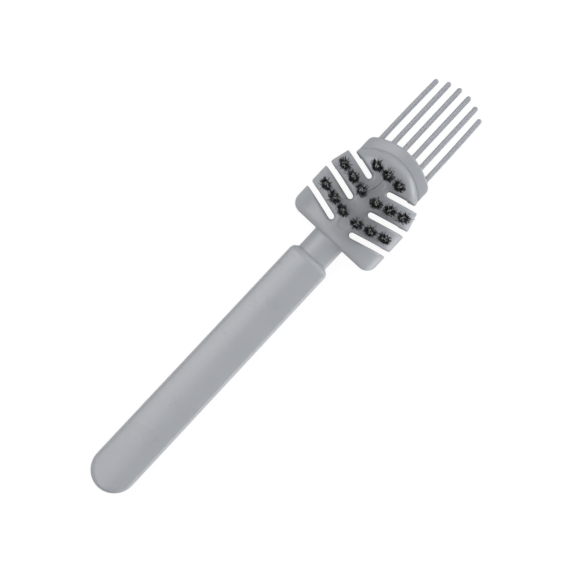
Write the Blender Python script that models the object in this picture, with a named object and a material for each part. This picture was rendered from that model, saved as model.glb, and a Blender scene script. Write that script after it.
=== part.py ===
"""Brush cleaning rake: a moulded grip and an arched, slotted head with six tines and fifteen tufts of bristle.

It lies on its back on z = 0 with the bristles up. Y runs along the tool from the butt to the tines, X
across it, and the origin is on the table under the middle of its length. All sizes are in metres.
"""

import math
import random

import bmesh
import bpy
from mathutils import Vector
from mathutils.geometry import delaunay_2d_cdt

# Clearance between the grip and the neck, clearance round what is in a tuft hole, and the overrun of cuts
fit_gap = 0.0003
hole_gap = 0.0002
overrun = 0.002

# Points nearer to each other than this count as one, and edges that turn more than this stay sharp
merge_distance = 0.0000001
sharp_turn = math.radians(35)

# Grip: a bar with crowned faces and bowed sides, a full round butt and a flat top end
handle_length = 0.09574
handle_top_width = 0.01425
handle_butt_width = 0.0147
handle_thickness = 0.0104
handle_back_cut = 0.00025
handle_crown_radius = 0.0160
handle_side_radius = 0.0120
handle_edge_radius = 0.0013
handle_corner = 0.0022
handle_edge = 0.0011
section_steps = 3
butt_steps = 14

# Neck, which seats in the mouth of the grip, and the tang and bead that hold it there
neck_width = 0.01085
neck_thickness = 0.0070
neck_reach = 0.00785
neck_seat = 0.0015
neck_squareness = 2.2
tang_width = 0.0088
tang_thickness = 0.0050
tang_length = 0.0210
tang_lead = 0.0008
bead_height = 0.00035
bead_length = 0.0016
bead_setback = 0.0040
neck_sides = 24

# Head: an arched shell with three slots a side, open underneath
head_width = 0.0326
head_length = 0.03565
head_corner = 0.0036
arch_rise = 0.0080
crest_step = 0.0010
crest_wall = 0.0038
rim_wall = 0.0034
end_wall = 0.0030
pocket_corner = 0.0012
lean_start_setback = 0.01825
lean_end_setback = 0.01165
lean_width = 0.0288
pad_corner_width = 0.0244
pad_corner_setback = 0.00985
dome_setback = 0.00375
dome_radius = 0.0168
end_round = 0.0033
neck_end_drop = 0.0008
crown_sink = 0.0003
skin_step = 0.0011
skin_seam = 0.0006
arch_steps = 29
corner_steps = 6
dome_steps = 18

# Slots, which rise outwards from the spine and widen downwards
slot_width = 0.0019
slot_foot_width = 0.0024
slot_spine_width = 0.0086
slot_first_reach = 0.00543
slot_last_setback = 0.01338
slot_count = 3
slot_rise = math.radians(15.5)
slot_end_steps = 8

# Crown: the flange beyond the dome, arched less than it, with six round tines
crown_width = 0.0242
crown_drop = 0.0013
crown_thickness = 0.0030
crown_arch_radius = 0.0210
crown_edge_radius = 0.0207
crown_corner = 0.0023
crown_root_setback = 0.01035
tine_count = 6
tine_pitch = 0.003745
tine_diameter = 0.00165
tine_length = 0.02547
tine_tips_radius = 0.0176
tine_embed = 0.0014
tine_fillet = 0.0004
tine_draw_in = 0.00037
tine_sides = 10
tine_tip_steps = 4
tine_body_shares = (0.25, 0.5, 0.75)

# Tufts, in rows that follow the slots, with one straight row on the dome
hole_diameter = 0.0020
hole_depth = 0.0026
hole_sides = 12
tuft_inner_spacing = 0.0059
tuft_pitch = 0.00452
tuft_rows = 2
tufts_in_half_row = 3
tuft_row_offset = 0.0035
top_row_offset = 0.0032
top_row_pitch = 0.0045
plug_recess = 0.0001
bristle_length = 0.0095
bristle_radius = 0.000105
bristle_spread = 0.00175
bristle_root_inset = 0.00017
bristle_stray = 0.00014
bristle_trim = 0.0003
ring_counts = (12, 8, 3)
ring_radius_shares = (1.0, 0.58, 0.22)
bend_height_shares = (0.55, 1.0)
bend_spread_shares = (0.34, 1.0)

# Anchor: a flat length of wire in the fold of each tuft
anchor_thickness = 0.0003
anchor_height = 0.0007
anchor_rise = 0.0006
anchor_bevel = 0.00006

# Two round marks that the moulding's ejector pins leave on the outer ribs, and two on the spine
rib_mark_diameter = 0.0013
rib_mark_depth = 0.0004
rib_mark_spacing = 0.0208
rib_mark_offset = 0.00273
spine_mark_diameter = 0.0034
spine_mark_depth = 0.00015
spine_mark_rise = 0.00082
mark_sides = 16

# Places that follow from the sizes above
tips_sag = tine_tips_radius - math.sqrt(tine_tips_radius**2 - (tine_pitch / 2) ** 2)
tool_length = handle_length + neck_reach + head_length + tine_length - tips_sag
butt_y = -tool_length / 2
grip_top_y = butt_y + handle_length
head_y = grip_top_y + neck_reach
seat_y = grip_top_y - neck_seat
axis_z = handle_thickness / 2
crest_z = axis_z + neck_thickness / 2 + crest_step
shoulder_z = crest_z - arch_rise
crown_top_z = crest_z - crown_drop
crown_centre_z = crown_top_z - crown_arch_radius
crown_centre_y = head_y + head_length - crown_edge_radius
tips_centre_y = head_y + head_length + tine_length - tine_tips_radius
dome_centre_y = head_y + head_length - dome_setback - dome_radius
last_slot_reach = head_length - slot_last_setback
slot_pitch = (last_slot_reach - slot_first_reach) / (slot_count - 1)
lean_start = head_length - lean_start_setback
lean_end = head_length - lean_end_setback
pad_corner_reach = head_length - pad_corner_setback
crown_root_reach = head_length - crown_root_setback

for old in list(bpy.data.objects):
    bpy.data.objects.remove(old, do_unlink=True)


def plastic(name, color, roughness, metallic=0.0):
    """A Principled material of one colour."""
    made = bpy.data.materials.new(name)
    made.use_nodes = True
    shader = made.node_tree.nodes["Principled BSDF"]
    shader.inputs["Base Color"].default_value = (*color, 1.0)
    shader.inputs["Roughness"].default_value = roughness
    shader.inputs["Metallic"].default_value = metallic
    made.diffuse_color = (*color, 1.0)
    return made


pale_grey = (0.40, 0.418, 0.445)
grip_plastic = plastic("grip_plastic", pale_grey, 0.55)
head_plastic = plastic("head_plastic", pale_grey, 0.38)
black_nylon = plastic("black_nylon", (0.012, 0.012, 0.014), 0.45)
anchor_steel = plastic("anchor_steel", (0.62, 0.61, 0.58), 0.3, 1.0)


def place(name, bm, material=None, cutter=False):
    """Makes an object of a bmesh; a cutter is left out of the render."""
    mesh = bpy.data.meshes.new(name)
    bmesh.ops.recalc_face_normals(bm, faces=bm.faces)
    bm.to_mesh(mesh)
    bm.free()
    made = bpy.data.objects.new(name, mesh)
    bpy.context.scene.collection.objects.link(made)
    if cutter:
        made.hide_render = True
        made.display_type = "WIRE"
    else:
        mesh.materials.append(material)
        mesh.shade_smooth()
        mesh.set_sharp_from_angle(angle=sharp_turn)
    return made


def combine(target, other, operation):
    """Adds an exact Boolean of another object to the target."""
    modifier = target.modifiers.new(operation.lower() + "_" + other.name, "BOOLEAN")
    modifier.operation = operation
    modifier.solver = "EXACT"
    modifier.object = other


def arc(centre_x, centre_y, radius, start, end, steps):
    """Points along a circle's arc, both ends included."""
    points = []
    for i in range(steps + 1):
        angle = start + (end - start) * i / steps
        points.append((centre_x + radius * math.cos(angle), centre_y + radius * math.sin(angle)))
    return points


def oval(y, half_width, half_height, squareness, sides):
    """A ring in the plane at y, round the tool's axis, between an ellipse and a box in shape."""
    ring = []
    for i in range(sides):
        angle = 2 * math.pi * i / sides
        c, s = math.cos(angle), math.sin(angle)
        x = half_width * math.copysign(abs(c) ** (2 / squareness), c)
        z = half_height * math.copysign(abs(s) ** (2 / squareness), s)
        ring.append(Vector((x, y, axis_z + z)))
    return ring


def loft(bm, rings):
    """Skins rings of equal count, and caps the first and the last; a ring of one point is a tip."""
    loops = [[bm.verts.new(point) for point in ring] for ring in rings]
    for near, far in zip(loops, loops[1:]):
        count = max(len(near), len(far))
        for i in range(count):
            j = (i + 1) % count
            if len(near) == 1:
                bm.faces.new((near[0], far[i], far[j]))
            elif len(far) == 1:
                bm.faces.new((near[i], near[j], far[0]))
            else:
                bm.faces.new((near[i], near[j], far[j], far[i]))
    for loop in (loops[0], loops[-1]):
        if len(loop) > 1:
            bm.faces.new(loop)


def flatten_back(bm):
    """Cuts away what lies under the table plane and closes the cut."""
    everything = bm.verts[:] + bm.edges[:] + bm.faces[:]
    bmesh.ops.bisect_plane(bm, geom=everything, plane_co=(0, 0, 0), plane_no=(0, 0, 1), clear_inner=True)
    bmesh.ops.holes_fill(bm, edges=[edge for edge in bm.edges if edge.is_boundary])


def extrude_face(bm, points, offset):
    """A closed prism from a flat outline."""
    face = bm.faces.new([bm.verts.new(point) for point in points])
    grown = bmesh.ops.extrude_face_region(bm, geom=[face])["geom"]
    moved = [item for item in grown if isinstance(item, bmesh.types.BMVert)]
    bmesh.ops.translate(bm, verts=moved, vec=offset)


def plan_prism(bm, outline, low_z, high_z):
    """A prism that stands on z = low_z, from an outline in plan."""
    extrude_face(bm, [Vector((x, y, low_z)) for x, y in outline], Vector((0, 0, high_z - low_z)))


def mirrored(right_half):
    """A closed outline from its right half, which runs from the axis to the axis."""
    left_half = [(-x, y) for x, y in reversed(right_half) if x > 0]
    return right_half + left_half


def neck_rings(grow, end_y):
    """The rings of the tang, its bead and the neck; grow widens them into the socket that holds them."""
    tang_end = seat_y - tang_length
    bead_y = tang_end + bead_setback
    tang_x, tang_z = tang_width / 2 + grow, tang_thickness / 2 + grow
    neck_x, neck_z = neck_width / 2 + grow, neck_thickness / 2 + grow
    stations = (
        (tang_end - grow, tang_x - tang_lead, tang_z - tang_lead),
        (tang_end - grow + tang_lead, tang_x, tang_z),
        (bead_y - bead_length / 2, tang_x, tang_z),
        (bead_y, tang_x + bead_height, tang_z + bead_height),
        (bead_y + bead_length / 2, tang_x, tang_z),
        (seat_y - grow, tang_x, tang_z),
        (seat_y - grow, neck_x, neck_z),
        (end_y, neck_x, neck_z),
    )
    return [oval(y, half_x, half_z, neck_squareness, neck_sides) for y, half_x, half_z in stations]


def circle_meeting(centre_a, radius_a, centre_b, radius_b):
    """The point to the right of and above both centres where two circles cross."""
    apart = centre_b - centre_a
    along = (radius_a**2 - radius_b**2 + apart.length_squared) / (2 * apart.length)
    off = math.sqrt(radius_a**2 - along**2)
    middle = centre_a + apart.normalized() * along
    side = Vector((-apart.y, apart.x)).normalized()
    return max((middle + side * off, middle - side * off), key=lambda point: point.x + point.y)


def grip_quarter(half_width, half_height):
    """The upper right quarter of the grip's section, from its crown round to its side, as (x, z) points."""
    crown_centre = Vector((0, half_height - handle_crown_radius))
    side_centre = Vector((half_width - handle_side_radius, 0))
    inner_crown, inner_side = handle_crown_radius - handle_edge_radius, handle_side_radius - handle_edge_radius
    edge_centre = circle_meeting(crown_centre, inner_crown, side_centre, inner_side)
    to_crown, to_side = edge_centre - crown_centre, edge_centre - side_centre
    crown_end, side_end = math.atan2(to_crown.y, to_crown.x), math.atan2(to_side.y, to_side.x)
    points = arc(*crown_centre, handle_crown_radius, math.pi / 2, crown_end, section_steps)
    points += arc(*edge_centre, handle_edge_radius, crown_end, side_end, section_steps)[1:]
    return points + arc(*side_centre, handle_side_radius, side_end, 0, section_steps)[1:]


def crown_fall(x):
    """How far the grip's crowned face lies below its crest at x."""
    return handle_crown_radius - math.sqrt(handle_crown_radius**2 - x * x)


def spin_butt(bm, quarter, half_height):
    """Turns half the section round into the butt, and keeps its faces crowned across the tool only."""
    profile = [bm.verts.new((x, 0, z)) for x, z in quarter]
    profile += [bm.verts.new((x, 0, -z)) for x, z in reversed(quarter[:-1])]
    edges = [bm.edges.new(pair) for pair in zip(profile, profile[1:])]
    axis = Vector((0, 0, 1))
    bmesh.ops.spin(bm, geom=profile + edges, cent=(0, 0, 0), axis=axis, angle=-math.pi, steps=butt_steps)
    bmesh.ops.remove_doubles(bm, verts=bm.verts, dist=merge_distance)
    crown_reach = quarter[section_steps][0]
    for vert in bm.verts:
        radius = math.hypot(vert.co.x, vert.co.y)
        if radius > 0:
            reach = min(radius, crown_reach)
            full = half_height - crown_fall(reach)
            vert.co.z *= (half_height - crown_fall(reach * abs(vert.co.x) / radius)) / full


def grip_solid(bm):
    """The grip, with the butt at its low end; the top end is drawn in to a rounded edge."""
    half_height = (handle_thickness + handle_back_cut) / 2
    butt_half, top_half = handle_butt_width / 2, handle_top_width / 2
    spin_butt(bm, grip_quarter(butt_half, half_height), half_height)
    bmesh.ops.translate(bm, verts=bm.verts, vec=Vector((0, butt_y + butt_half, 0)))
    ring = [edge for edge in bm.edges if edge.is_boundary]
    half_x, half_z = butt_half, half_height
    for i in range(corner_steps + 1):
        angle = math.pi / 2 * i / corner_steps
        next_x = top_half - handle_corner * (1 - math.cos(angle))
        next_z = half_height - handle_edge * (1 - math.cos(angle))
        grown = bmesh.ops.extrude_edge_only(bm, edges=ring)["geom"]
        ring = [item for item in grown if isinstance(item, bmesh.types.BMEdge) and item.is_boundary]
        for vert in [item for item in grown if isinstance(item, bmesh.types.BMVert)]:
            vert.co.x *= next_x / half_x
            vert.co.z *= next_z / half_z
            vert.co.y = grip_top_y - handle_corner * (1 - math.sin(angle))
        half_x, half_z = next_x, next_z
    bmesh.ops.holes_fill(bm, edges=ring)
    bmesh.ops.translate(bm, verts=bm.verts, vec=Vector((0, 0, axis_z - handle_back_cut / 2)))


def make_handle():
    """The grip, with the socket for the neck in its top end."""
    bm = bmesh.new()
    grip_solid(bm)
    flatten_back(bm)
    handle = place("handle", bm, grip_plastic)
    bm = bmesh.new()
    loft(bm, neck_rings(fit_gap, grip_top_y + overrun))
    combine(handle, place("socket_cutter", bm, cutter=True), "DIFFERENCE")
    return handle


def arch_height(x):
    """The height of the dome's outer surface at x."""
    return shoulder_z + arch_rise * math.sqrt(1 - (2 * x / head_width) ** 2)


def crown_height(x):
    """The height of the flange's upper surface at x."""
    return crown_centre_z + math.sqrt(crown_arch_radius**2 - x**2)


def skin_height(x, y):
    """The height of the dome's skin, which falls away at the neck's end and down into the flange."""
    neck_share = min(1, max(0, 1 - (y - head_y) / end_round))
    drop = neck_end_drop * neck_share**2
    if y > slot_line(last_slot_reach, x):
        inset = dome_radius - math.hypot(x, y - dome_centre_y)
        front_share = min(1, max(0, 1 - inset / end_round))
        flange_z = crown_height(min(abs(x), crown_width / 2))
        drop += max(0, arch_height(x) - flange_z + crown_sink) * front_share**2
    return arch_height(x) - drop


def skin_ring(reach, square):
    """A ring round the dome, square to it or parallel to the slots, with skirts that the outline trims."""
    half = head_width / 2
    ring = []
    for i in range(arch_steps + 1):
        x = half * math.cos(math.pi * (i + 0.5) / (arch_steps + 1))
        y = head_y + reach if square else slot_line(reach, x)
        ring.append(Vector((x, y, skin_height(x, y))))
    skirt_x = half + overrun
    skirt_y = head_y + reach if square else slot_line(reach, skirt_x)
    right = [Vector((skirt_x, skirt_y, z)) for z in (-overrun, shoulder_z)]
    left = [Vector((-skirt_x, skirt_y, z)) for z in (shoulder_z, -overrun)]
    return right + ring + left


def dome_block(bm):
    """The dome before it is cut to its outline: rings that follow the slots, with a seam inside the last one."""
    seam_reach = last_slot_reach
    lead = (head_width / 2 + overrun) * math.tan(slot_rise)
    rings = [skin_ring(-lead - overrun, True)]
    steps = math.floor((seam_reach + lead) / skin_step)
    for i in range(steps):
        rings.append(skin_ring(seam_reach - skin_seam / 2 - skin_step * (steps - 1 - i), False))
    steps = math.ceil((head_length - seam_reach) / skin_step)
    for i in range(steps):
        rings.append(skin_ring(seam_reach + skin_seam / 2 + skin_step * i, False))
    rings.append(skin_ring(head_length + lead + overrun, True))
    loft(bm, rings)
    bmesh.ops.triangulate(bm, faces=bm.faces, quad_method="SHORT_EDGE")


def arch_section(half_width, rise):
    """An arch in section: upright sides below the shoulder and half an ellipse above it."""
    points = [(half_width, -overrun)]
    points += [
        (half_width * math.cos(math.pi * i / arch_steps), shoulder_z + rise * math.sin(math.pi * i / arch_steps))
        for i in range(arch_steps + 1)
    ]
    return points + [(-half_width, -overrun)]


def arch_block(bm, half_width, rise):
    """An arch's section run along the whole head."""
    start_y = head_y - overrun
    outline = [Vector((x, start_y, z)) for x, z in arch_section(half_width, rise)]
    extrude_face(bm, outline, Vector((0, head_length + 2 * overrun, 0)))


def dome_arc(inset, half_width):
    """The round front end of the dome from half_width in to the axis, moved inwards by inset."""
    radius = dome_radius - inset
    start = math.acos(half_width / radius)
    return arc(0, dome_centre_y, radius, start, math.pi / 2, dome_steps // 2)


def dome_outline():
    """The dome in plan: straight sides that lean in beyond the second slot, and a round front end."""
    half = head_width / 2
    right = [(0, head_y)]
    right += arc(half - head_corner, head_y + head_corner, head_corner, -math.pi / 2, 0, corner_steps)
    right.append((half, head_y + lean_start))
    right.append((lean_width / 2, head_y + lean_end))
    right.append((pad_corner_width / 2, head_y + pad_corner_reach))
    right += dome_arc(0, crown_width / 2)
    return mirrored(right)


def pocket_outline():
    """The hollow under the dome in plan, one wall in from its edges."""
    half = head_width / 2 - rim_wall
    low_y = head_y + end_wall
    right = [(0, low_y)]
    right += arc(half - pocket_corner, low_y + pocket_corner, pocket_corner, -math.pi / 2, 0, corner_steps // 2)
    right.append((half, head_y + lean_start))
    right += dome_arc(end_wall, lean_width / 2 - rim_wall)
    return mirrored(right)


def crown_outline():
    """The flange in plan: straight sides, round corners and an arched front edge."""
    half = crown_width / 2
    centre_x = half - crown_corner
    centre_y = crown_centre_y + math.sqrt((crown_edge_radius - crown_corner) ** 2 - centre_x**2)
    turn = math.atan2(centre_y - crown_centre_y, centre_x)
    right = [(0, head_y + crown_root_reach), (half, head_y + crown_root_reach)]
    right += arc(centre_x, centre_y, crown_corner, 0, turn, corner_steps)
    right += arc(0, crown_centre_y, crown_edge_radius, turn, math.pi / 2, dome_steps // 2)[1:]
    return mirrored(right)


def crown_block(bm):
    """The flange's curved plate, before it is cut to its outline."""
    reach = math.asin((crown_width / 2 + overrun) / crown_arch_radius)
    section = arc(0, crown_centre_z, crown_arch_radius, math.pi / 2 - reach, math.pi / 2 + reach, arch_steps)
    inner = crown_arch_radius - crown_thickness
    section += arc(0, crown_centre_z, inner, math.pi / 2 + reach, math.pi / 2 - reach, arch_steps)
    start_y = head_y + crown_root_reach - overrun
    length = head_length - crown_root_reach + 2 * overrun
    extrude_face(bm, [Vector((x, start_y, z)) for x, z in section], Vector((0, length, 0)))


def tine_rings(x):
    """One tine: a small root fillet, a straight round rod and a round tip, the outer ones drawn in a little."""
    radius = tine_diameter / 2
    outermost = tine_pitch * (tine_count - 1) / 2
    middle_radius = crown_arch_radius - crown_thickness / 2
    z = crown_centre_z + math.sqrt(middle_radius**2 - x**2)
    edge_y = crown_centre_y + math.sqrt(crown_edge_radius**2 - x**2)
    length = tips_centre_y + math.sqrt(tine_tips_radius**2 - x**2) - edge_y
    stations = [(-tine_embed, radius), (0, radius + tine_fillet), (tine_fillet, radius)]
    stations += [(length * share, radius) for share in tine_body_shares]
    for i in range(tine_tip_steps):
        angle = math.pi / 2 * i / tine_tip_steps
        stations.append((length - radius * (1 - math.sin(angle)), radius * math.cos(angle)))
    rings = []
    for along, ring_radius in stations:
        share = max(0, along / length)
        centre_x = x - tine_draw_in * (x / outermost) ** 3 * share**2
        circle = arc(centre_x, z, ring_radius, 0, 2 * math.pi, tine_sides)[:-1]
        rings.append([Vector((point_x, edge_y + along, point_z)) for point_x, point_z in circle])
    tip_x = x - tine_draw_in * (x / outermost) ** 3
    rings.append([Vector((tip_x, edge_y + length, z))])
    return rings


def slot_ring(reach, side, half, z):
    """One slot in plan at z, from its round inner end out past the rim; side is 1 or -1."""
    inner_x = slot_spine_width / 2
    along = Vector((math.cos(slot_rise), math.sin(slot_rise)))
    across = Vector((-along.y, along.x))
    start = Vector((inner_x, head_y + reach))
    end = start + along * (head_width / 2 + overrun - inner_x) / along.x
    round_end = arc(0, 0, half, math.pi / 2, 3 * math.pi / 2, slot_end_steps)
    points = [start + along * u + across * v for u, v in round_end]
    points += [end - across * half, end + across * half]
    return [Vector((side * point.x, point.y, z)) for point in points]


def slot_line(reach, x):
    """The height in plan of a slot's centre line at x."""
    return head_y + reach + (abs(x) - slot_spine_width / 2) * math.tan(slot_rise)


def tuft_places():
    """Where each tuft hole is, in plan."""
    places = []
    for row in range(tuft_rows):
        for side in (-1, 1):
            for i in range(tufts_in_half_row):
                x = side * (tuft_inner_spacing / 2 + tuft_pitch * i)
                places.append((x, slot_line(slot_first_reach + slot_pitch * row, x) + tuft_row_offset))
    top_y = head_y + last_slot_reach + top_row_offset
    places += [(top_row_pitch * i, top_y) for i in (-1, 0, 1)]
    return places


def drill(bm, x, y, diameter, depth, sides):
    """A round hole cutter that goes down from above the dome to its depth below the surface at x, y."""
    floor_z = arch_height(x) - depth
    circle = arc(x, y, diameter / 2, 0, 2 * math.pi, sides)[:-1]
    plan_prism(bm, circle, floor_z, crest_z + overrun)


def make_head():
    """The head's one moulding: dome, neck and tang, crown and tines, with the pocket, slots and holes cut."""
    bm = bmesh.new()
    dome_block(bm)
    flatten_back(bm)
    head = place("rake_head", bm, head_plastic)
    bm = bmesh.new()
    plan_prism(bm, dome_outline(), -overrun, crest_z + overrun)
    combine(head, place("dome_plan", bm, cutter=True), "INTERSECT")

    bm = bmesh.new()
    crown_block(bm)
    crown = place("crown_plate", bm, cutter=True)
    bm = bmesh.new()
    plan_prism(bm, crown_outline(), -overrun, crest_z + overrun)
    combine(crown, place("crown_plan", bm, cutter=True), "INTERSECT")
    bm = bmesh.new()
    for i in range(tine_count):
        loft(bm, tine_rings(tine_pitch * (i - (tine_count - 1) / 2)))
    combine(crown, place("tine_rods", bm, cutter=True), "UNION")
    combine(head, crown, "UNION")

    bm = bmesh.new()
    loft(bm, neck_rings(0, head_y + end_wall / 2))
    combine(head, place("neck_rod", bm, cutter=True), "UNION")

    bm = bmesh.new()
    arch_block(bm, head_width / 2 - rim_wall, arch_rise - crest_wall)
    pocket = place("pocket_cutter", bm, cutter=True)
    bm = bmesh.new()
    plan_prism(bm, pocket_outline(), -2 * overrun, crest_z)
    combine(pocket, place("pocket_plan", bm, cutter=True), "INTERSECT")
    combine(head, pocket, "DIFFERENCE")

    bm = bmesh.new()
    for row in range(slot_count):
        for side in (-1, 1):
            reach = slot_first_reach + slot_pitch * row
            foot = slot_ring(reach, side, slot_foot_width / 2, -overrun)
            loft(bm, [foot, slot_ring(reach, side, slot_width / 2, crest_z)])
    combine(head, place("slot_cutter", bm, cutter=True), "DIFFERENCE")

    bm = bmesh.new()
    for x, y in tuft_places():
        drill(bm, x, y, hole_diameter, hole_depth, hole_sides)
    mark_y = slot_line(slot_first_reach + slot_pitch, rib_mark_spacing / 2) + rib_mark_offset
    for side in (-1, 1):
        drill(bm, side * rib_mark_spacing / 2, mark_y, rib_mark_diameter, rib_mark_depth, mark_sides)
    for reach in (slot_first_reach + spine_mark_rise, last_slot_reach):
        drill(bm, 0, head_y + reach, spine_mark_diameter, spine_mark_depth, mark_sides)
    combine(head, place("hole_cutter", bm, cutter=True), "DIFFERENCE")
    return head


def strand_roots(turn):
    """The places of the bristles on a plug's top, ring by ring, each ring turned a little further."""
    outer = hole_diameter / 2 - hole_gap - bristle_root_inset
    roots = []
    for ring, (count, share) in enumerate(zip(ring_counts, ring_radius_shares)):
        for i in range(count):
            angle = turn * (ring + 1) + 2 * math.pi * i / count
            roots.append(Vector((outer * share * math.cos(angle), outer * share * math.sin(angle))))
    return roots


def make_tuft(number, x, y, windows):
    """One tuft: the folded plug in its hole, and three-sided bristles drawn up from the plug's top."""
    rng = random.Random(number)
    surface_z = arch_height(x)
    top_z = surface_z - plug_recess
    bottom_z = surface_z - hole_depth + hole_gap
    plug_radius = hole_diameter / 2 - hole_gap
    rim = arc(0, 0, plug_radius, 0, 2 * math.pi, hole_sides)[:-1]
    flat_points = [Vector(point) for point in rim]
    faces = [list(range(hole_sides))]
    roots = strand_roots(rng.uniform(0, 2 * math.pi / hole_sides))
    for root in roots:
        angle = math.atan2(root.y, root.x)
        first = len(flat_points)
        corners = arc(root.x, root.y, bristle_radius, angle, angle + 2 * math.pi, 3)[:-1]
        flat_points += [Vector(corner) for corner in corners]
        faces.append([first, first + 1, first + 2])
    points, _, triangles, _, _, sources = delaunay_2d_cdt(flat_points, [], faces, 1, merge_distance)

    bm = bmesh.new()
    verts = [bm.verts.new((point.x, point.y, top_z)) for point in points]
    strands = {}
    for triangle, source in zip(triangles, sources):
        face = bm.faces.new([verts[i] for i in triangle])
        for index in source:
            if index > 0:
                strands[index - 1] = face
    boundary = [edge for edge in bm.edges if edge.is_boundary]
    wall = bmesh.ops.extrude_edge_only(bm, edges=boundary)["geom"]
    wall_verts = [item for item in wall if isinstance(item, bmesh.types.BMVert)]
    bmesh.ops.translate(bm, verts=wall_verts, vec=Vector((0, 0, bottom_z - top_z)))
    bmesh.ops.holes_fill(bm, edges=[edge for edge in bm.edges if edge.is_boundary])

    root_radius = plug_radius - bristle_root_inset
    for index, root in enumerate(roots):
        stray = Vector((rng.uniform(-1, 1), rng.uniform(-1, 1))) * bristle_stray
        tip = root * (bristle_spread / root_radius) + stray
        length = bristle_length + rng.uniform(-1, 1) * bristle_trim
        face = strands[index]
        at, height = root, 0.0
        for rise_share, spread_share in zip(bend_height_shares, bend_spread_shares):
            face = bmesh.ops.extrude_discrete_faces(bm, faces=[face])["faces"][0]
            aim = root.lerp(tip, spread_share)
            offset = Vector((aim.x - at.x, aim.y - at.y, length * rise_share - height))
            bmesh.ops.translate(bm, verts=face.verts, vec=offset)
            at, height = aim, length * rise_share
    bmesh.ops.translate(bm, verts=bm.verts, vec=Vector((x, y, 0)))
    tuft = place(f"bristle_tuft_{number:02d}", bm, black_nylon)
    combine(tuft, windows, "DIFFERENCE")
    return tuft


def anchor_z(x):
    """The height of an anchor's middle, in the fold of the tuft at x."""
    return arch_height(x) - hole_depth + hole_gap + anchor_rise + anchor_height / 2


def block(bm, centre, size_x, size_y, size_z):
    """A box; returns its corners' vertices."""
    verts = bmesh.ops.create_cube(bm, size=1)["verts"]
    bmesh.ops.scale(bm, verts=verts, vec=Vector((size_x, size_y, size_z)))
    bmesh.ops.translate(bm, verts=verts, vec=centre)
    return verts


def make_anchor(number, x, y):
    """One anchor: a short flat wire across the hole, its corners eased."""
    bm = bmesh.new()
    length = hole_diameter - 2 * hole_gap
    block(bm, Vector((x, y, anchor_z(x))), length, anchor_thickness, anchor_height)
    bmesh.ops.bevel(bm, geom=bm.edges[:], offset=anchor_bevel, segments=1, profile=0.5, affect="EDGES")
    return place(f"tuft_anchor_{number:02d}", bm, anchor_steel)


def make_tufts():
    """All the tufts and their anchors; one cutter makes the openings through the folds."""
    bm = bmesh.new()
    for x, y in tuft_places():
        centre = Vector((x, y, anchor_z(x)))
        block(bm, centre, hole_diameter, anchor_thickness + 2 * hole_gap, anchor_height + 2 * hole_gap)
    windows = place("fold_cutter", bm, cutter=True)
    for number, (x, y) in enumerate(tuft_places(), start=1):
        make_tuft(number, x, y, windows)
        make_anchor(number, x, y)


make_handle()
make_head()
make_tufts()
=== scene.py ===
"""Brush cleaning rake, as it looks: a pale grey grip, and an arched, slotted head with six tines and fifteen
tufts of black bristle. It lies on its back, and the camera looks straight down on it. Sizes are in metres."""

import math
import random

import bmesh
import bpy
from mathutils import Matrix, Vector


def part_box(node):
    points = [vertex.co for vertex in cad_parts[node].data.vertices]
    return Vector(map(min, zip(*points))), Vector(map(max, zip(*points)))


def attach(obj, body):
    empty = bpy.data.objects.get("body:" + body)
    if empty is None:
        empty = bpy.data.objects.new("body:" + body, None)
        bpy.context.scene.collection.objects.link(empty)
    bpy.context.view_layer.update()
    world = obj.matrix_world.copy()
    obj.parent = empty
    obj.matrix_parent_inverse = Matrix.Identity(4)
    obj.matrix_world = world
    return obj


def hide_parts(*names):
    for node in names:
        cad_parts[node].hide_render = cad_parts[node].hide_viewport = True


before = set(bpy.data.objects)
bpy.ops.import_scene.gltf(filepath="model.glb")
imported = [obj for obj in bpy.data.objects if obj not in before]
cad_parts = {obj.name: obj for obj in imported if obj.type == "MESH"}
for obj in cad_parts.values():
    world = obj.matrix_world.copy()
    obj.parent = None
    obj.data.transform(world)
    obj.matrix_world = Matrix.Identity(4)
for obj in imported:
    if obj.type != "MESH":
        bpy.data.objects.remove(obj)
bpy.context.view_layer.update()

# Grip. One solid moulding in pale grey polypropylene, with crowned faces, a full round butt and a square-cut
# top end with a socket in it for the neck. The mould is spark-eroded, which leaves a very fine even grain.
grip_low, grip_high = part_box("handle")
grip_axis_z = 0.005075
grip_half_height = 0.005325
grip_butt_half = 0.00735
grip_top_half = 0.007125
grip_crown_radius = 0.0160
grip_side_radius = 0.0120
grip_edge_radius = 0.0013
grip_top_corner = 0.0022
grip_top_edge = 0.0011
socket_gap = 0.0003
neck_axis_z = 0.0052
neck_squareness = 2.2
neck_half_width = 0.005425
neck_half_height = 0.0035
neck_seat = 0.0015
tang_half_width = 0.0044
tang_half_height = 0.0025
tang_length = 0.0210
tang_lead = 0.0008
quarter_steps = 8
butt_steps = 48
top_edge_steps = 8
socket_sides = 64
grip_colour = (0.392, 0.408, 0.436)
plastic_roughness = 0.28
plastic_grain = 0.000002
grain_scale = 5200
flow_scale = 90
roughness_drift = 0.03
tint_low = 0.975
tint_high = 1.02
plastic_ior = 1.49


def shader_link(tree, source, output, target, socket):
    """Links one node's output to another's input."""
    tree.links.new(source.outputs[output], target.inputs[socket])


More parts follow.
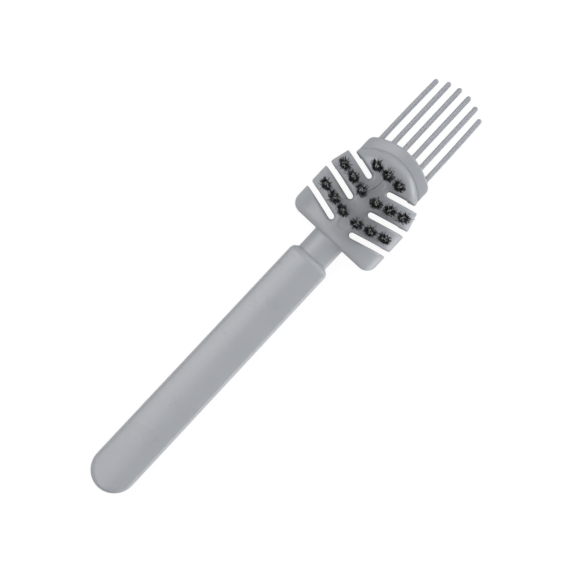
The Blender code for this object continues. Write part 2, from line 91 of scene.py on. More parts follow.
def moulded_plastic(name, colour, roughness, grain_height):
    """A moulded plastic: a faint drift of colour and gloss from the melt's flow, and a fine eroded grain."""
    made = bpy.data.materials.new(name)
    made.use_nodes = True
    tree = made.node_tree
    shader = tree.nodes["Principled BSDF"]
    shader.inputs["IOR"].default_value = plastic_ior
    where = tree.nodes.new("ShaderNodeTexCoord")
    flow = tree.nodes.new("ShaderNodeTexNoise")
    flow.inputs["Scale"].default_value = flow_scale
    flow.inputs["Detail"].default_value = 3
    shader_link(tree, where, "Object", flow, "Vector")
    tint = tree.nodes.new("ShaderNodeValToRGB")
    tint.color_ramp.elements[0].position = 0.3
    tint.color_ramp.elements[1].position = 0.7
    tint.color_ramp.elements[0].color = (*[tint_low * c for c in colour], 1)
    tint.color_ramp.elements[1].color = (*[tint_high * c for c in colour], 1)
    shader_link(tree, flow, "Fac", tint, "Fac")
    shader_link(tree, tint, "Color", shader, "Base Color")
    gloss = tree.nodes.new("ShaderNodeMapRange")
    gloss.inputs["To Min"].default_value = roughness - roughness_drift
    gloss.inputs["To Max"].default_value = roughness + roughness_drift
    shader_link(tree, flow, "Fac", gloss, "Value")
    shader_link(tree, gloss, "Result", shader, "Roughness")
    grain = tree.nodes.new("ShaderNodeTexNoise")
    grain.inputs["Scale"].default_value = grain_scale
    grain.inputs["Detail"].default_value = 2
    shader_link(tree, where, "Object", grain, "Vector")
    bump = tree.nodes.new("ShaderNodeBump")
    bump.inputs["Strength"].default_value = 0.35
    bump.inputs["Distance"].default_value = grain_height
    shader_link(tree, grain, "Fac", bump, "Height")
    shader_link(tree, bump, "Normal", shader, "Normal")
    return made


def mesh_of(name, bm):
    """Turns a bmesh into a mesh and frees it."""
    mesh = bpy.data.meshes.new(name)
    bm.to_mesh(mesh)
    bm.free()
    return mesh


def linked(name, data):
    """Puts an object with this data into the scene."""
    placed = bpy.data.objects.new(name, data)
    bpy.context.scene.collection.objects.link(placed)
    return placed


def finished(name, bm, material):
    """Makes a smooth-shaded piece of a bmesh; it rides on the tool's one body."""
    mesh = mesh_of(name, bm)
    mesh.materials.append(material)
    mesh.shade_smooth()
    piece = linked(name, mesh)
    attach(piece, "root")
    return piece


grip_plastic = moulded_plastic("grip_plastic_moulded", grip_colour, plastic_roughness, plastic_grain)


def circle_meeting(centre_a, radius_a, centre_b, radius_b):
    """The point to the right of and above both centres where two circles cross."""
    apart = centre_b - centre_a
    distance = apart.length
    along = (radius_a**2 - radius_b**2 + distance**2) / (2 * distance)
    off = math.sqrt(radius_a**2 - along**2)
    middle = centre_a + apart * along / distance
    side = Vector((-apart.y, apart.x)) / distance
    options = (middle + side * off, middle - side * off)
    return max(options, key=lambda point: point.x + point.y)


def crowned_quarter(half_width, half_height, crown_radius, side_radius, edge_radius, steps):
    """The upper right quarter of a bar's section, from its crown round to its side, as (x, z) points."""
    crown_centre = Vector((0, half_height - crown_radius))
    side_centre = Vector((half_width - side_radius, 0))
    edge_centre = circle_meeting(
        crown_centre, crown_radius - edge_radius, side_centre, side_radius - edge_radius
    )
    crown_end = math.atan2(edge_centre.y - crown_centre.y, edge_centre.x - crown_centre.x)
    side_end = math.atan2(edge_centre.y - side_centre.y, edge_centre.x - side_centre.x)
    arcs = (
        (crown_centre, crown_radius, math.pi / 2, crown_end),
        (edge_centre, edge_radius, crown_end, side_end),
        (side_centre, side_radius, side_end, 0),
    )
    points = []
    for centre, radius, start, end in arcs:
        for i in range(steps):
            angle = start + (end - start) * i / steps
            points.append((centre.x + radius * math.cos(angle), centre.y + radius * math.sin(angle)))
    return points + [(half_width, 0)]


def crown_drop(x):
    """How far the crowned face lies below its crest at x."""
    return grip_crown_radius - math.sqrt(grip_crown_radius**2 - x * x)


def verts_among(items):
    """The vertices among the parts that an operator made."""
    return [item for item in items if isinstance(item, bmesh.types.BMVert)]


def ring_of(verts):
    """The edges at a circle's vertices, each of them once and in a fixed order."""
    return list(dict.fromkeys(edge for vert in verts for edge in vert.link_edges))


def grown_ring(bm, ring):
    """Extrudes a ring of edges; returns the new ring's edges and its vertices."""
    grown = bmesh.ops.extrude_edge_only(bm, edges=ring)["geom"]
    edges = [item for item in grown if isinstance(item, bmesh.types.BMEdge) and item.is_boundary]
    return edges, verts_among(grown)


def oval_tube(bm, stations, segments):
    """A tube of the neck's section, by its half width and height at each y; returns its end rings."""
    y, half_width, half_height = stations[0]
    drawn = bmesh.ops.create_circle(bm, radius=1, segments=segments)["verts"]
    for vert in drawn:
        across, up = [math.copysign(abs(part) ** (2 / neck_squareness), part) for part in vert.co.xy]
        vert.co = (half_width * across, y, neck_axis_z + half_height * up)
    first = ring = ring_of(drawn)
    for y, next_width, next_height in stations[1:]:
        ring, ring_verts = grown_ring(bm, ring)
        for vert in ring_verts:
            vert.co.x *= next_width / half_width
            vert.co.z = neck_axis_z + (vert.co.z - neck_axis_z) * next_height / half_height
            vert.co.y = y
        half_width, half_height = next_width, next_height
    return first, ring


grip_quarter = crowned_quarter(
    grip_butt_half, grip_half_height, grip_crown_radius, grip_side_radius, grip_edge_radius, quarter_steps
)
bm = bmesh.new()
profile = [bm.verts.new((x, 0, z)) for x, z in grip_quarter]
profile += [bm.verts.new((x, 0, -z)) for x, z in reversed(grip_quarter[:-1])]
for upper, lower in zip(profile, profile[1:]):
    bm.edges.new((upper, lower))
bmesh.ops.spin(
    bm, geom=bm.verts[:] + bm.edges[:], cent=(0, 0, 0), axis=(0, 0, 1), angle=-math.pi, steps=butt_steps
)
bmesh.ops.remove_doubles(bm, verts=bm.verts, dist=1e-7)
edge_start = max(x for x, z in grip_quarter if crown_drop(x) - (grip_half_height - z) > -1e-6)
for vert in bm.verts:
    reach = min(math.hypot(vert.co.x, vert.co.y), edge_start)
    across = reach * abs(vert.co.x) / max(math.hypot(vert.co.x, vert.co.y), 1e-9)
    lift = crown_drop(reach) - crown_drop(across)
    full = grip_half_height - crown_drop(reach)
    vert.co.z *= (full + lift) / full
ring = [edge for edge in bm.edges if edge.is_boundary]
bmesh.ops.translate(bm, verts=bm.verts, vec=(0, grip_low.y + grip_butt_half, 0))
half_width, half_height = grip_butt_half, grip_half_height
for i in range(top_edge_steps + 1):
    turn = math.pi / 2 * i / top_edge_steps
    next_width = grip_top_half - grip_top_corner * (1 - math.cos(turn))
    next_height = grip_half_height - grip_top_edge * (1 - math.cos(turn))
    ring, ring_verts = grown_ring(bm, ring)
    for vert in ring_verts:
        vert.co.x *= next_width / half_width
        vert.co.z *= next_height / half_height
        vert.co.y = grip_high.y - grip_top_corner * (1 - math.sin(turn))
    half_width, half_height = next_width, next_height
bmesh.ops.translate(bm, verts=bm.verts, vec=(0, 0, grip_axis_z))
everything = bm.verts[:] + bm.edges[:] + bm.faces[:]
bmesh.ops.bisect_plane(bm, geom=everything, plane_co=(0, 0, 0), plane_no=(0, 0, 1), clear_inner=True)
rims = [edge for edge in bm.edges if edge.is_boundary]
top_rim = [edge for edge in rims if min(vert.co.y for vert in edge.verts) > grip_high.y - 1e-6]
bmesh.ops.holes_fill(bm, edges=[edge for edge in rims if edge not in top_rim])
seat_y = grip_high.y - neck_seat
socket_end = seat_y - tang_length - socket_gap
mouth, socket_floor = oval_tube(bm, [
    (grip_high.y, neck_half_width + socket_gap, neck_half_height + socket_gap),
    (seat_y - socket_gap, neck_half_width + socket_gap, neck_half_height + socket_gap),
    (seat_y - socket_gap, tang_half_width + socket_gap, tang_half_height + socket_gap),
    (socket_end + tang_lead, tang_half_width + socket_gap, tang_half_height + socket_gap),
    (socket_end, tang_half_width + socket_gap - tang_lead, tang_half_height + socket_gap - tang_lead),
], socket_sides)
bmesh.ops.holes_fill(bm, edges=socket_floor)
bmesh.ops.bridge_loops(bm, edges=top_rim + mouth)
bmesh.ops.recalc_face_normals(bm, faces=bm.faces)
grip = finished("grip_moulding", bm, grip_plastic)
grip.data.set_sharp_from_angle(angle=math.radians(40))
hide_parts("handle")

# Head. One moulding in the same plastic, a shade darker: an arched shell that is open underneath, slotted in
# three pairs, with a flange that carries six round tines, and a neck and a beaded tang that press into the
# grip. Its edges are rounded in the mould.
head_low, head_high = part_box("rake_head")
neck_reach = 0.00785
head_y = grip_high.y + neck_reach
head_half_width = 0.0163
head_length = 0.03565
head_corner = 0.0036
shoulder_z = 0.0017
arch_rise = 0.0080
crest_wall = 0.0038
rim_wall = 0.0034
end_wall = 0.0030
pocket_corner = 0.0012
lean_start = 0.0174
lean_end = 0.0240
lean_half_width = 0.0144
pad_corner_half = 0.0122
pad_corner_reach = 0.0258
dome_radius = 0.0168
dome_centre_y = head_y + 0.0151
skin_columns = 170
skin_rows = 160
skin_width_share = 0.99
end_round = 0.0033
neck_end_drop = 0.0008
crown_sink = 0.0003
edge_round = 0.00075
skin_overrun = 0.002
rim_round = 0.0024
rim_drop = 0.0009
crease_depth = 0.00032
crease_half = 0.0003
slot_rows = 3
slot_half_width = 0.00095
slot_inner_x = 0.0043
slot_first_reach = 0.00543
slot_pitch = 0.00842
slot_rise = math.radians(15.5)
crown_half_width = 0.0121
crown_centre_z = -0.0126
crown_arch_radius = 0.0210
crown_thickness = 0.0030
crown_edge_radius = 0.0207
crown_centre_y = head_y + head_length - crown_edge_radius
crown_root_reach = 0.0253
crown_corner = 0.0023
tuft_rows = 2
tufts_in_half_row = 3
tuft_inner_x = 0.00295
tuft_pitch = 0.00452
tuft_row_offset = 0.0035
top_row_pitch = 0.0045
top_row_offset = 0.0032
tuft_hole_radius = 0.0010
tuft_hole_depth = 0.0026
rib_mark_radius = 0.00065
rib_mark_depth = 0.0004
rib_mark_x = 0.0104
rib_mark_offset = 0.00273
spine_mark_radius = 0.0017
spine_mark_depth = 0.00012
spine_mark_reaches = (0.00625, 0.02227)
tine_count = 6
tine_pitch = 0.003745
tine_outermost = (tine_count - 1) / 2
tine_radius = 0.000825
tine_reach = 0.02547
tine_tips_radius = 0.0176
tine_tips_centre_y = head_y + head_length + tine_reach - tine_tips_radius
tine_body_shares = (0.2, 0.4, 0.6, 0.8)
tine_sides = 28
tine_embed = 0.0014
tine_fillet = 0.0004
tine_draw_in = 0.00037
bead_height = 0.00035
bead_half_length = 0.0008
bead_setback = 0.0040
cutter_overrun = 0.001
cutter_top = 0.012
slot_cutter_reach = 0.016
rod_length = 0.01
pocket_low = -0.004
pocket_high = 0.008
crown_overrun_share = 1.1
mould_voxel = 0.00023
smoothing_rounds = 8
head_colour = (0.380, 0.396, 0.423)
head_plastic = moulded_plastic("head_plastic_moulded", head_colour, plastic_roughness, plastic_grain)


def working_solid(name, bm):
    """Keeps a closed bmesh as a plain object for the Booleans that follow."""
    bmesh.ops.remove_doubles(bm, verts=bm.verts, dist=1e-8)
    bmesh.ops.recalc_face_normals(bm, faces=bm.faces)
    return linked(name, mesh_of(name, bm))


def boolean(target, other, operation):
    """Joins, cuts or trims the target by another solid, which is used up."""
    modifier = target.modifiers.new(operation, "BOOLEAN")
    modifier.operation = operation
    modifier.solver = "EXACT"
    modifier.object = other
    settle(target)
    bpy.data.objects.remove(other)


def settle(solid):
    """Applies a solid's modifiers."""
    mesh = bpy.data.meshes.new_from_object(solid.evaluated_get(bpy.context.evaluated_depsgraph_get()))
    solid.modifiers.clear()
    solid.data = mesh


def extruded(bm, faces, offset):
    """Extrudes flat faces into a closed solid."""
    grown = bmesh.ops.extrude_face_region(bm, geom=faces)["geom"]
    bmesh.ops.translate(bm, verts=verts_among(grown), vec=offset)


def arched_bar(name, half_width, rise):
    """Half an ellipse on upright sides that reach below the table, run along the whole head."""
    bm = bmesh.new()
    bmesh.ops.create_circle(bm, cap_ends=True, radius=1, segments=192)
    bmesh.ops.scale(bm, verts=bm.verts, vec=(half_width, rise, 1))
    everything = bm.verts[:] + bm.edges[:] + bm.faces[:]
    bmesh.ops.bisect_plane(bm, geom=everything, plane_co=(0, 0, 0), plane_no=(0, 1, 0), clear_inner=True)
    base = [edge for edge in bm.edges if max(abs(vert.co.y) for vert in edge.verts) < 1e-9]
    sides = bmesh.ops.extrude_edge_only(bm, edges=base)["geom"]
    bmesh.ops.translate(bm, verts=verts_among(sides), vec=(0, -2 * shoulder_z, 0))
    bmesh.ops.rotate(bm, verts=bm.verts, cent=(0, 0, 0), matrix=Matrix.Rotation(math.pi / 2, 3, "X"))
    bmesh.ops.translate(bm, verts=bm.verts, vec=(0, head_y - cutter_overrun, shoulder_z))
    extruded(bm, bm.faces[:], (0, head_length + 2 * cutter_overrun, 0))
    return working_solid(name, bm)


def drawn_half(bm, start, moves):
    """Draws the right half of an outline in plan: straight to a point, or round a centre by an angle."""
    pen = bm.verts.new((*start, 0))
    for move in moves:
        if len(move) == 2:
            pen = bmesh.ops.extrude_vert_indiv(bm, verts=[pen])["verts"][0]
            pen.co = (*move, 0)
        else:
            centre_x, centre_y, turn, steps = move
            centre = (centre_x, centre_y, 0)
            turned = bmesh.ops.spin(bm, geom=[pen], cent=centre, axis=(0, 0, 1), angle=turn, steps=steps)
            pen = turned["geom_last"][0]


def plan_solid(name, start, moves, low_z, high_z):
    """A prism with upright sides on a symmetrical outline in plan."""
    bm = bmesh.new()
    drawn_half(bm, start, moves)
    bmesh.ops.mirror(bm, geom=bm.verts[:] + bm.edges[:], axis="X", merge_dist=1e-6)
    bmesh.ops.remove_doubles(bm, verts=bm.verts, dist=1e-7)
    bmesh.ops.contextual_create(bm, geom=bm.edges[:])
    bmesh.ops.translate(bm, verts=bm.verts, vec=(0, 0, low_z))
    extruded(bm, bm.faces[:], (0, 0, high_z - low_z))
    return working_solid(name, bm)


def turn_to(centre_x, centre_y, start, end_x):
    """The angle from start, round a centre, to the point of that circle at end_x, on its upper side."""
    radius = math.hypot(start[0] - centre_x, start[1] - centre_y)
    begin = math.atan2(start[1] - centre_y, start[0] - centre_x)
    return math.acos((end_x - centre_x) / radius) - begin


def slot_line(reach, x):
    """How far up the tool a slot's middle is at x."""
    return head_y + reach + (abs(x) - slot_inner_x) * math.tan(slot_rise)


def surface_z(x):
    """The height of the arched face at x."""
    return shoulder_z + arch_rise * math.sqrt(max(0, 1 - (x / head_half_width) ** 2))


def slot_inset(x, y):
    """How far a place in plan lies outside the edge of the nearest slot."""
    insets = []
    for row in range(slot_rows):
        up = y - head_y - slot_first_reach - slot_pitch * row
        out = abs(x) - slot_inner_x
        along = max(0, out * math.cos(slot_rise) + up * math.sin(slot_rise))
        off = math.hypot(out - along * math.cos(slot_rise), up - along * math.sin(slot_rise))
        insets.append(off - slot_half_width)
    return min(insets)


def rounded_off(inset, length):
    """How far an edge's rounding has gone, from 0 at its length in from the edge to 1 at the edge."""
    share = min(1, max(0, 1 - inset / length))
    return 1 - math.sqrt(1 - share**2)


def side_reach(y):
    """Half the width of the head's outline at y, which leans in beyond the second slot."""
    up = y - head_y
    if up < lean_start:
        return head_half_width
    if up < lean_end:
        share = (up - lean_start) / (lean_end - lean_start)
        return head_half_width + (lean_half_width - head_half_width) * share
    if up < pad_corner_reach:
        share = (up - lean_end) / (pad_corner_reach - lean_end)
        return lean_half_width + (pad_corner_half - lean_half_width) * share
    return pad_corner_half + up - pad_corner_reach


def skin_z(x, y):
    """The height of the head's skin, with its sides, both its ends and the edges of its slots rounded off."""
    z = surface_z(x) - neck_end_drop * rounded_off(y - head_y, end_round)
    z -= rim_drop * rounded_off(side_reach(y) - abs(x), rim_round)
    if y > slot_line(slot_first_reach + 2 * slot_pitch, x):
        crown_x = min(abs(x), crown_half_width)
        flange_z = crown_centre_z + math.sqrt(crown_arch_radius**2 - crown_x**2)
        inset = dome_radius - math.hypot(x, y - dome_centre_y)
        z -= max(0, surface_z(x) - flange_z + crown_sink) * rounded_off(inset, end_round)
    return z - edge_round * rounded_off(slot_inset(x, y), edge_round)


def upright_rods(name, places, radius, depth):
    """Round cutters that go down into the arched face by their depth at each x and y."""
    bm = bmesh.new()
    for x, y in places:
        rod = bmesh.ops.create_cone(
            bm, cap_ends=True, segments=32, radius1=radius, radius2=radius, depth=rod_length
        )["verts"]
        bmesh.ops.translate(bm, verts=rod, vec=(x, y, surface_z(x) - depth + rod_length / 2))
    return working_solid(name, bm)


tuft_places = []
for row in range(tuft_rows):
    for side in (-1, 1):
        for i in range(tufts_in_half_row):
            x = side * (tuft_inner_x + tuft_pitch * i)
            tuft_places.append((x, slot_line(slot_first_reach + slot_pitch * row, x) + tuft_row_offset))
for i in (-1, 0, 1):
    tuft_places.append((top_row_pitch * i, head_y + slot_first_reach + 2 * slot_pitch + top_row_offset))

bm = bmesh.new()
bmesh.ops.create_grid(bm, x_segments=skin_columns, y_segments=skin_rows, size=1)
for vert in bm.verts:
    x = head_half_width * math.sin(skin_width_share * vert.co.x * math.pi / 2)
    y = head_y + (vert.co.y + 1) / 2 * (head_length + 2 * skin_overrun) - skin_overrun
    vert.co = (x, y, skin_z(x, y))
skirt = [edge for edge in bm.edges if edge.is_boundary]
for out, low_z in ((skin_overrun, shoulder_z), (0, -skin_overrun)):
    skirt, skirt_verts = grown_ring(bm, skirt)
    for vert in skirt_verts:
        vert.co.x += math.copysign(out, vert.co.x)
        vert.co.z = low_z
bmesh.ops.contextual_create(bm, geom=skirt)
head = working_solid("head_moulding", bm)
dome_start = (crown_half_width, dome_centre_y + math.sqrt(dome_radius**2 - crown_half_width**2))
boolean(head, plan_solid("dome_plan", (0, head_y), [
    (head_half_width - head_corner, head_y),
    (head_half_width - head_corner, head_y + head_corner, math.pi / 2, 12),
    (head_half_width, head_y + lean_start),
    (lean_half_width, head_y + lean_end),
    (pad_corner_half, head_y + pad_corner_reach),
    dome_start,
    (0, dome_centre_y, turn_to(0, dome_centre_y, dome_start, 0), 32),
], 0, cutter_top), "INTERSECT")

bm = bmesh.new()
low_edge = bm.verts.new((0, 0, crown_arch_radius - crown_thickness))
bm.edges.new((low_edge, bm.verts.new((0, 0, crown_arch_radius))))
sweep = 2 * math.asin(crown_half_width * crown_overrun_share / crown_arch_radius)
bmesh.ops.rotate(bm, verts=bm.verts, cent=(0, 0, 0), matrix=Matrix.Rotation(-sweep / 2, 3, "Y"))
bmesh.ops.spin(bm, geom=bm.verts[:] + bm.edges[:], cent=(0, 0, 0), axis=(0, 1, 0), angle=sweep, steps=96)
bmesh.ops.translate(bm, verts=bm.verts, vec=(0, head_y + crown_root_reach - cutter_overrun, crown_centre_z))
extruded(bm, bm.faces[:], (0, cutter_top, 0))
crown = working_solid("crown", bm)
corner_x = crown_half_width - crown_corner
corner_y = crown_centre_y + math.sqrt((crown_edge_radius - crown_corner) ** 2 - corner_x**2)
corner_turn = math.atan2(corner_y - crown_centre_y, corner_x)
boolean(crown, plan_solid("crown_plan", (0, head_y + crown_root_reach), [
    (crown_half_width, head_y + crown_root_reach),
    (crown_half_width, corner_y),
    (corner_x, corner_y, corner_turn, 12),
    (0, crown_centre_y, math.pi / 2 - corner_turn, 32),
], -cutter_overrun, cutter_top), "INTERSECT")
boolean(head, crown, "UNION")

bm = bmesh.new()
neck_ends = oval_tube(bm, [
    (seat_y, neck_half_width, neck_half_height),
    (head_y + end_wall / 2, neck_half_width, neck_half_height),
], 96)
for edges in neck_ends:
    bmesh.ops.holes_fill(bm, edges=edges)
boolean(head, working_solid("neck", bm), "UNION")

pocket_side = head_half_width - rim_wall
pocket = arched_bar("pocket", pocket_side, arch_rise - crest_wall)
lean_inner = lean_half_width - rim_wall
pocket_start = (lean_inner, dome_centre_y + math.sqrt((dome_radius - end_wall) ** 2 - lean_inner**2))
boolean(pocket, plan_solid("pocket_plan", (0, head_y + end_wall), [
    (pocket_side - pocket_corner, head_y + end_wall),
    (pocket_side - pocket_corner, head_y + end_wall + pocket_corner, math.pi / 2, 8),
    (pocket_side, head_y + lean_start),
    pocket_start,
    (0, dome_centre_y, turn_to(0, dome_centre_y, pocket_start, 0), 32),
], pocket_low, pocket_high), "INTERSECT")
boolean(head, pocket, "DIFFERENCE")

bm = bmesh.new()
for row in range(slot_rows):
    outline = bmesh.ops.create_circle(bm, cap_ends=True, radius=slot_half_width, segments=32)["verts"]
    outer = [vert for vert in outline if vert.co.x > 1e-6]
    bmesh.ops.translate(bm, verts=outer, vec=(slot_cutter_reach, 0, 0))
    bmesh.ops.rotate(bm, verts=outline, cent=(0, 0, 0), matrix=Matrix.Rotation(slot_rise, 3, "Z"))
    corner = (slot_inner_x, head_y + slot_first_reach + slot_pitch * row, -cutter_overrun)
    bmesh.ops.translate(bm, verts=outline, vec=corner)
bmesh.ops.mirror(bm, geom=bm.verts[:] + bm.edges[:] + bm.faces[:], axis="X", merge_dist=1e-8)
extruded(bm, bm.faces[:], (0, 0, cutter_overrun + cutter_top))
boolean(head, working_solid("slots", bm), "DIFFERENCE")
boolean(head, upright_rods("tuft_holes", tuft_places, tuft_hole_radius, tuft_hole_depth), "DIFFERENCE")
mark_y = slot_line(slot_first_reach + slot_pitch, rib_mark_x) + rib_mark_offset
rib_marks = [(side * rib_mark_x, mark_y) for side in (-1, 1)]
boolean(head, upright_rods("rib_marks", rib_marks, rib_mark_radius, rib_mark_depth), "DIFFERENCE")

skin = head.modifiers.new("mould_skin", "REMESH")
skin.mode = "VOXEL"
skin.voxel_size = mould_voxel
skin.use_smooth_shade = True
eased = head.modifiers.new("eased_edges", "SMOOTH")
eased.factor = 0.5
eased.iterations = smoothing_rounds
settle(head)
for vert in head.data.vertices:
    for reach in spine_mark_reaches:
        away = math.hypot(vert.co.x, vert.co.y - head_y - reach)
        if vert.co.z > shoulder_z + arch_rise / 2 and away < spine_mark_radius + mould_voxel:
            share = min(1, (spine_mark_radius + mould_voxel - away) / (2 * mould_voxel))
            vert.co.z -= spine_mark_depth * share
    off_crease = abs(math.hypot(vert.co.x, vert.co.y - dome_centre_y) - dome_radius)
    if vert.co.z > shoulder_z + crown_thickness / 2 and vert.co.y > head_y + pad_corner_reach:
        vert.co.z -= crease_depth * max(0, 1 - (off_crease / crease_half) ** 2)

bm = bmesh.new()
for i in range(tine_count):
    x = tine_pitch * (i - tine_outermost)
    rod = bmesh.new()
    edge_y = crown_centre_y + math.sqrt(crown_edge_radius**2 - x * x)
    tine_length = tine_tips_centre_y + math.sqrt(tine_tips_radius**2 - x * x) - edge_y
    flare = tine_radius + tine_fillet
    drawn_half(rod, (0, -tine_embed), [
        (flare, -tine_embed),
        (flare, 0),
        (flare, tine_fillet, -math.pi / 2, 5),
        *[(tine_radius, tine_length * share) for share in tine_body_shares],
        (tine_radius, tine_length - tine_radius),
        (0, tine_length - tine_radius, math.pi / 2, 8),
    ])
    bmesh.ops.remove_doubles(rod, verts=rod.verts, dist=1e-7)
    bmesh.ops.spin(
        rod, geom=rod.verts[:] + rod.edges[:], cent=(0, 0, 0), axis=(0, 1, 0), angle=2 * math.pi,
        steps=tine_sides, use_merge=True,
    )
    bmesh.ops.remove_doubles(rod, verts=rod.verts, dist=1e-7)
    edge_slope = x / math.sqrt(crown_edge_radius**2 - x * x)
    tine_z = crown_centre_z + math.sqrt((crown_arch_radius - crown_thickness / 2) ** 2 - x * x)
    for vert in rod.verts:
        along = max(0, vert.co.y / tine_length)
        vert.co.y -= vert.co.x * edge_slope * max(0, 1 - along * 8)
        inwards = tine_draw_in * (x / (tine_outermost * tine_pitch)) ** 3 * along**2
        vert.co += Vector((x - inwards, edge_y, tine_z))
    bm.from_mesh(mesh_of("tine", rod))
tang_end = seat_y - tang_length
bead_y = tang_end + bead_setback
tang_ends = oval_tube(bm, [
    (tang_end, tang_half_width - tang_lead, tang_half_height - tang_lead),
    (tang_end + tang_lead, tang_half_width, tang_half_height),
    (bead_y - bead_half_length, tang_half_width, tang_half_height),
    (bead_y, tang_half_width + bead_height, tang_half_height + bead_height),
    (bead_y + bead_half_length, tang_half_width, tang_half_height),
    (seat_y + neck_seat / 2, tang_half_width, tang_half_height),
], 48)
for edges in tang_ends:
    bmesh.ops.holes_fill(bm, edges=edges)
boolean(head, working_solid("tines_and_tang", bm), "UNION")
head.data.materials.clear()
head.data.materials.append(head_plastic)
head.data.shade_smooth()
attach(head, "root")
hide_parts("rake_head")

# Tufts. Each is a bundle of black nylon hairs, folded over a flat wire and punched into its hole, then cut
# level and flared. The cut ends of some hairs in its middle are pale grey: a painted highlight for the light
# that cut ends catch. With use the hairs gather into locks, and a few stray far to one side. Finer split
# hairs fan out along the row, so many that their dark haze is also painted shade on the bars between the
# tufts.
nylon_grain = 0.000006
black_nylon = moulded_plastic("black_nylon_drawn", (0.006, 0.006, 0.007), 0.45, nylon_grain)
# Pale grey for the cut ends is a painted highlight, not the colour of black nylon.
tip_highlight_nylon = moulded_plastic("black_nylon_painted_highlight", (0.50, 0.50, 0.51), 0.5, nylon_grain)
hair_radius = 0.000115
hair_length = 0.0095
hair_sides = 5
hair_steps = 6
lock_shares = (0.15, 0.45, 0.5, 0.55, 0.75, 0.8, 0.85, 0.88, 0.92, 0.95, 0.98, 1.0)
hairs_in_lock = 7
highlight_lock_share = 0.6
plug_radius = 0.0008
plug_depth = 0.0009
plug_recess = 0.0001
turn_between_locks = math.pi * (3 - math.sqrt(5))
tip_spread = 0.0014
lock_looseness = 0.0004
lock_turn_slack = 0.2
# Fine hairs: split ends, and in their number a dark haze that is painted shade on the bars between tufts.
fine_radius = 0.00006
fine_and_shade_hair_count = 110
fine_reach = 0.0024
fan_half_angle = 0.6
leaning_rise_share = 0.97
stray_radius = 0.00005
stray_hairs = {
    2: [(0.0030, 0.0024, 0.0003, -0.0004), (-0.0010, -0.0022, 0, 0)],
    5: [(0.0013, -0.0022, 0, 0)],
    6: [(0.0013, 0.0019, 0, 0), (-0.0012, 0.0020, 0, 0)],
    7: [(0.0028, 0.0071, 0.0010, -0.0003), (0.0012, -0.0020, 0, 0)],
    8: [(-0.0004, -0.0024, 0, 0), (0.0015, -0.0019, 0, 0)],
    9: [(-0.0018, 0.0020, 0, 0), (-0.0019, -0.0017, 0, 0), (-0.0014, -0.0024, 0, 0)],
    10: [(-0.0018, -0.0014, 0, 0)],
    12: [(0.0030, 0.0021, 0, 0), (0.0020, 0.0008, 0, 0)],
    13: [(0.0001, 0.0028, 0, 0), (0.0007, 0.0024, 0, 0)],
    14: [(-0.0012, 0.0026, 0, 0), (-0.0018, 0.0022, 0, 0), (-0.0004, 0.0030, 0, 0)],
    15: [(0.0018, -0.0012, 0, 0)],
}


def hair(bm, root, tip, radius, bend, sway, highlight_end):
    """One hair that leaves upright and bends outwards on its way up, with a sway to one side."""
    drawn = bmesh.ops.create_circle(bm, cap_ends=True, radius=radius, segments=hair_sides)["verts"]
    bmesh.ops.translate(bm, verts=drawn, vec=root)
    ring = ring_of(drawn)
    at = root
    for step in range(1, hair_steps + 1):
        share = step / hair_steps
        aim = root.lerp(tip, share**bend) + sway * 4 * share * (1 - share)
        aim.z = root.z + (tip.z - root.z) * share
        ring, ring_verts = grown_ring(bm, ring)
        bmesh.ops.translate(bm, verts=ring_verts, vec=aim - at)
        at = aim
    # The cut end stays black, or takes the pale grey painted highlight.
    cut_end = bmesh.ops.contextual_create(bm, geom=ring)["faces"][0]
    cut_end.material_index = 1 if highlight_end else 0


def anywhere(rng):
    """A random offset in plan, up to 1 each way."""
    return Vector((rng.uniform(-1, 1), rng.uniform(-1, 1), 0))


def leaning_hair(bm, middle, out, radius, bend, sway):
    """A hair at the edge of a tuft, which keeps its length as it leans out."""
    root = middle + out.normalized() * (plug_radius - hair_radius)
    root.z -= hair_radius
    rise = leaning_rise_share * math.sqrt(hair_length**2 - out.length_squared)
    hair(bm, root, middle + out + Vector((0, 0, rise)), radius, bend, sway, False)


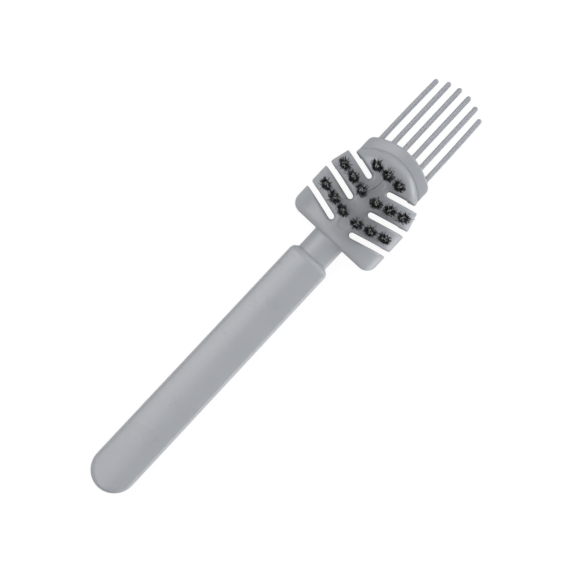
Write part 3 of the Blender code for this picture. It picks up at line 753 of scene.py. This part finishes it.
for number, (x, y) in enumerate(tuft_places, start=1):
    rng = random.Random(number)
    bm = bmesh.new()
    top_z = surface_z(x) - plug_recess
    middle = Vector((x, y, top_z))
    turn = rng.uniform(0, 2 * math.pi)
    for lock, lock_share in enumerate(lock_shares):
        angle = turn + lock * turn_between_locks + rng.uniform(-lock_turn_slack, lock_turn_slack)
        away = Vector((math.cos(angle), math.sin(angle), 0)) * lock_share
        reach = tip_spread * rng.uniform(0.7, 1.1)
        for i in range(hairs_in_lock):
            root = middle + away * (plug_radius - 2.5 * hair_radius) + anywhere(rng) * hair_radius * 1.5
            root.z -= hair_radius
            tip = middle + away * reach + anywhere(rng) * lock_looseness
            tip.z += hair_length * rng.uniform(0.96, 1.03)
            # Every other hair of the inner locks gets the painted highlight on its cut end.
            highlight_end = lock_share < highlight_lock_share and i % 2 == 0
            hair(bm, root, tip, hair_radius, rng.uniform(1.3, 1.8), Vector((0, 0, 0)), highlight_end)
    row_turn = 0 if number > 12 else math.copysign(slot_rise, x)
    # Fine split hairs, mostly along the row; their dark haze also stands in as painted shade between the
    # tufts.
    for i in range(fine_and_shade_hair_count):
        if i % 3:
            angle = row_turn + math.pi * (i % 2) + rng.uniform(-fan_half_angle, fan_half_angle)
        else:
            angle = rng.uniform(0, 2 * math.pi)
        out = Vector((math.cos(angle), math.sin(angle), 0)) * fine_reach * rng.uniform(0.55, 1)
        leaning_hair(bm, middle, out, fine_radius, rng.uniform(1.4, 2.4), anywhere(rng) * lock_looseness)
    for out_x, out_y, sway_x, sway_y in stray_hairs.get(number, []):
        leaning_hair(bm, middle, Vector((out_x, out_y, 0)), stray_radius, 1.6, Vector((sway_x, sway_y, 0)))
    plug = bmesh.ops.create_cone(
        bm, cap_ends=True, segments=24, radius1=plug_radius, radius2=plug_radius, depth=plug_depth
    )["verts"]
    bmesh.ops.translate(bm, verts=plug, vec=(x, y, top_z - plug_depth / 2))
    bmesh.ops.recalc_face_normals(bm, faces=bm.faces)
    tuft = finished(f"tuft_{number:02d}", bm, black_nylon)
    tuft.data.materials.append(tip_highlight_nylon)
    tuft.data.set_sharp_from_angle(angle=math.radians(50))
    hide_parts(f"bristle_tuft_{number:02d}")

# Anchors. Flat lengths of galvanised wire, each pressed into its hole across the fold of a tuft. The plugs of
# the tufts hide them, so they keep the shape of the CAD's own nodes.
anchor_grain = 0.000004
anchor_wire = moulded_plastic("anchor_wire_drawn", (0.56, 0.55, 0.53), 0.3, anchor_grain)
for name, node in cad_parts.items():
    if name.startswith("tuft_anchor"):
        node.data.materials.clear()
        node.data.materials.append(anchor_wire)

# Table. A white translucent sheet, which stays evenly pale and keeps a trace of the tool's soft shadow. The
# lamps under its right side shine through it, as on a light table.
table_half_side = 3
table_drop = 0.00005
table_white = 0.8
table_glow = 1.06
glow_share_seen = 0.88
bm = bmesh.new()
bmesh.ops.create_grid(bm, x_segments=1, y_segments=1, size=table_half_side)
bmesh.ops.translate(bm, verts=bm.verts, vec=(0, 0, -table_drop))
table = linked("table_sheet", mesh_of("table_sheet", bm))
sheet = bpy.data.materials.new("white_sheet")
sheet.use_nodes = True
tree = sheet.node_tree
tree.nodes.clear()
paper = tree.nodes.new("ShaderNodeBsdfDiffuse")
paper.inputs["Color"].default_value = (table_white, table_white, table_white, 1)
glow = tree.nodes.new("ShaderNodeEmission")
glow.inputs["Strength"].default_value = table_glow
path = tree.nodes.new("ShaderNodeLightPath")
share = tree.nodes.new("ShaderNodeMath")
share.operation = "MULTIPLY"
share.inputs[1].default_value = glow_share_seen
shader_link(tree, path, "Is Camera Ray", share, 0)
mix = tree.nodes.new("ShaderNodeMixShader")
shader_link(tree, share, "Value", mix, "Fac")
shader_link(tree, paper, "BSDF", mix, 1)
shader_link(tree, glow, "Emission", mix, 2)
out = tree.nodes.new("ShaderNodeOutputMaterial")
shader_link(tree, mix, "Shader", out, "Surface")
table.data.materials.append(sheet)
table.visible_shadow = False

# Light. Soft boxes above the tool's left side, its butt and its tines, two low beyond its right shoulder, and
# two under its right side, which shine through the sheet and rim its right edges.
lamp_side = 0.45
world_fill = 0.391
world_seen = 1.0
world = bpy.data.worlds.new("studio")
bpy.context.scene.world = world
world.use_nodes = True
tree = world.node_tree
back = tree.nodes["Background"]
back.inputs["Color"].default_value = (1, 1, 1, 1)
path = tree.nodes.new("ShaderNodeLightPath")
seen = tree.nodes.new("ShaderNodeMapRange")
seen.inputs["To Min"].default_value = world_fill
seen.inputs["To Max"].default_value = world_seen
shader_link(tree, path, "Is Camera Ray", seen, "Value")
shader_link(tree, seen, "Result", back, "Strength")


def softbox(name, tilt, turn, power):
    """A square lamp a metre away that looks at the tool, tilted off upright and turned from its right."""
    lamp = bpy.data.lights.new(name, "AREA")
    lamp.shape = "SQUARE"
    lamp.size = lamp_side
    lamp.energy = power
    placed = linked(name, lamp)
    tilt, turn = math.radians(tilt), math.radians(turn)
    away = Vector((math.sin(tilt) * math.cos(turn), math.sin(tilt) * math.sin(turn), math.cos(tilt)))
    placed.location = away
    placed.rotation_euler = away.to_track_quat("Z", "Y").to_euler()


softbox("left_high", 20, 180, 1.62)
softbox("left", 40, 180, 1.65)
softbox("butt_end", 20, 270, 1.06)
softbox("tine_end", 40, 90, 0.99)
softbox("shoulder", 65, 45, 1.29)
softbox("shoulder_low", 85, 45, 3.1)
softbox("right_under", 110, 0, 3.51)
softbox("right_deep", 125, 0, 1.16)

# Camera. It looks straight down from 0.6 m and a little off the tool's middle, turned so that the tool runs
# from the picture's lower left to its upper right.
camera_place = (0.000314, 0.001769, 0.6059)
camera_turn = math.radians(43.012)
camera_data = bpy.data.cameras.new("camera")
camera_data.sensor_width = 36
camera_data.lens = 123.36
camera = linked("camera", camera_data)
camera.location = camera_place
camera.rotation_euler = (0, 0, camera_turn)
bpy.context.scene.camera = camera
bpy.context.scene.view_settings.view_transform = "Standard"
